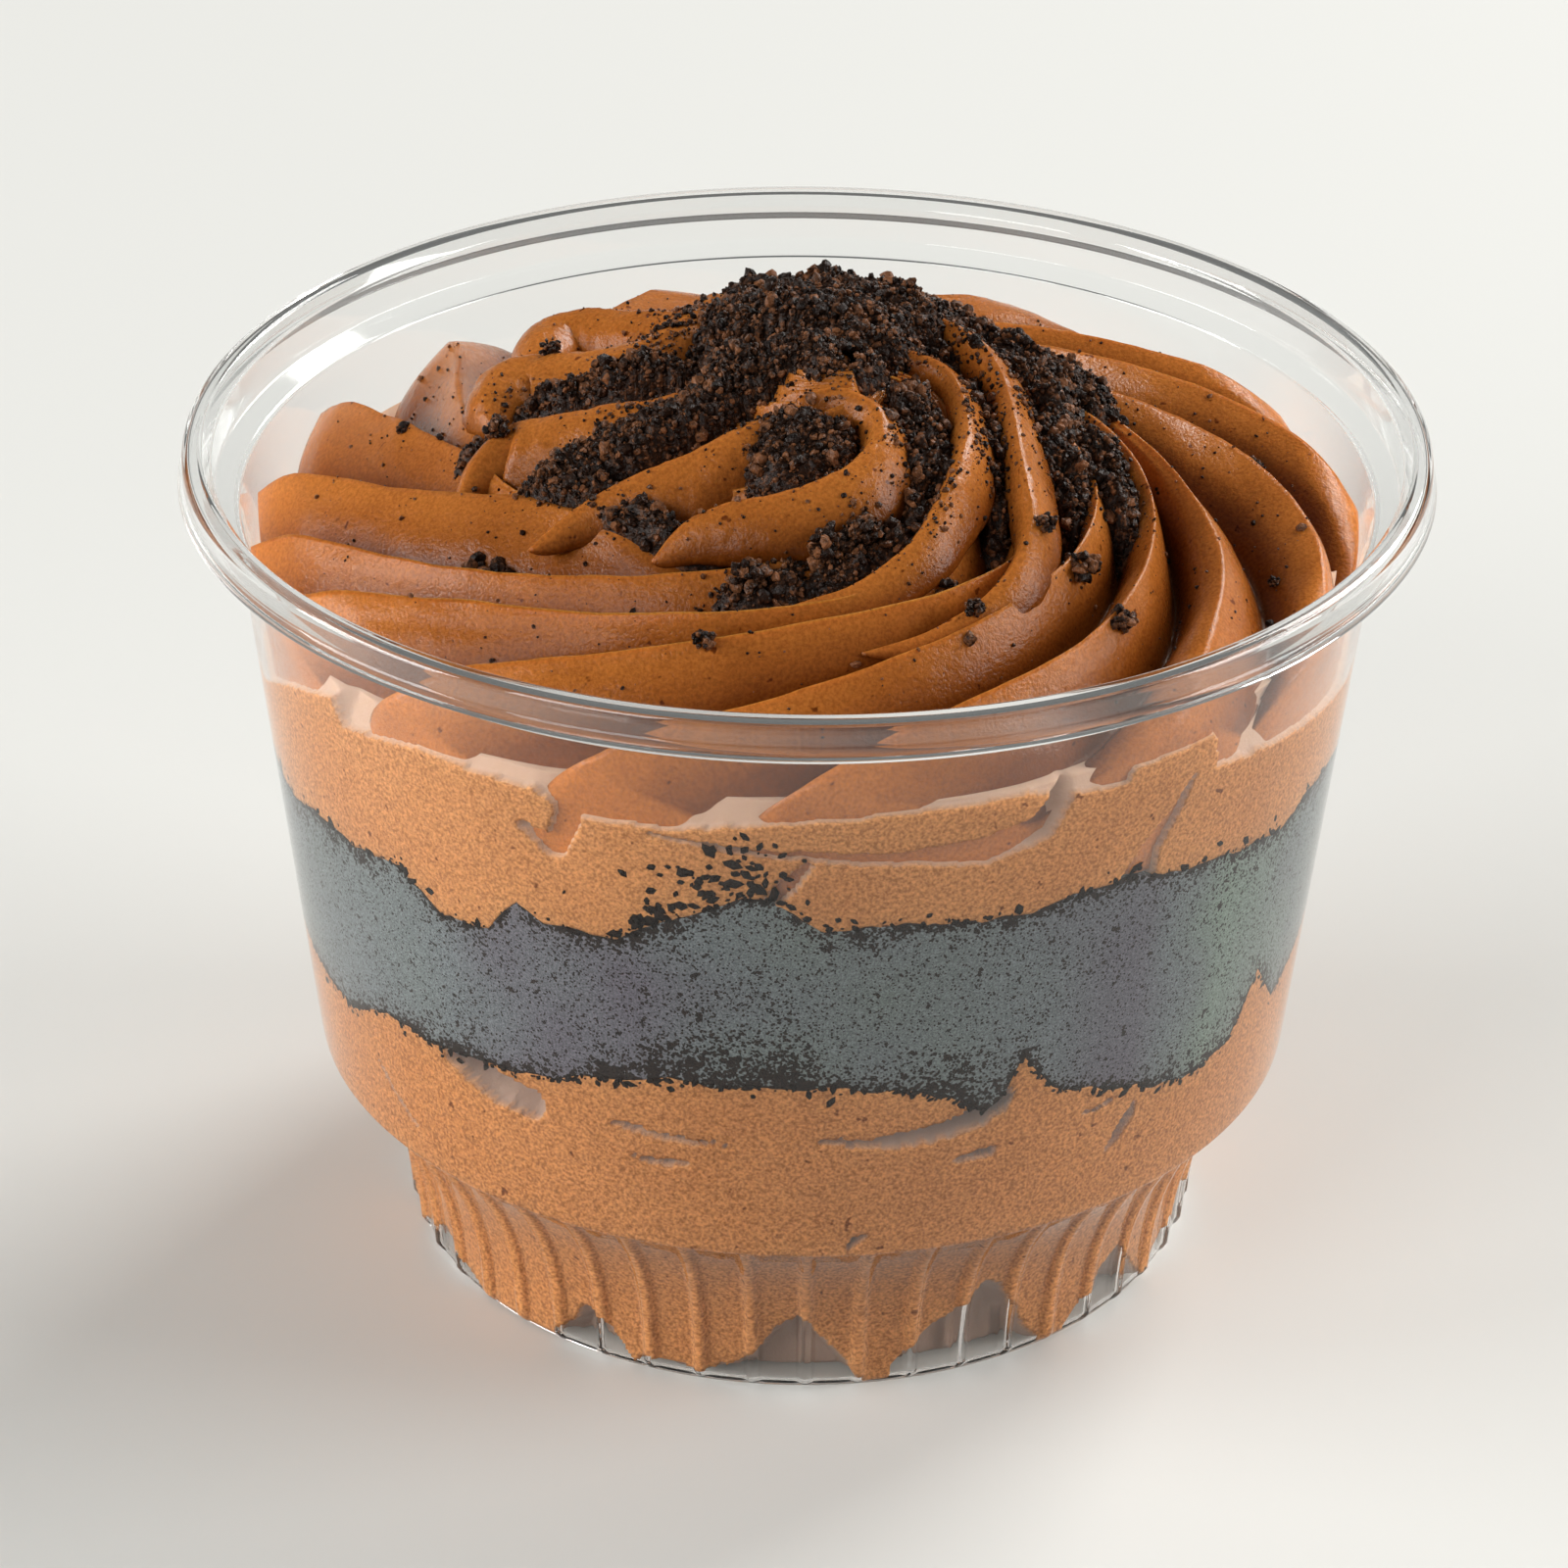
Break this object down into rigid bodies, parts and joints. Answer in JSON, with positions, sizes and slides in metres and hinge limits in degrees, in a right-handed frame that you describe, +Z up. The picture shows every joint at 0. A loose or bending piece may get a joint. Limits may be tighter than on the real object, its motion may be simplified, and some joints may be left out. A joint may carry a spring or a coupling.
{
  "type": "chocolate mousse cup",
  "caption": "Clear dessert cup of layered chocolate mousse and dark biscuit crumbs, topped with a piped mousse swirl and loose crumbs.",
  "frame": {"origin": "centre of the cup's flat base, on the table", "axes": "+Z up along the cup's axis, -Y towards the viewer's side, where the swirl's eye lies"},
  "size_m": [0.099, 0.099, 0.081],
  "materials": {
    "clear_plastic": "gloss",
    "lower_mousse": "satin",
    "biscuit_crumb": "matte",
    "mousse": "satin"
  },
  "bodies": {
    "root": {"cup": "clear_plastic", "lower_mousse": "lower_mousse", "crumb_layer": "biscuit_crumb", "upper_mousse": "mousse"}
  },
  "joints": []
}
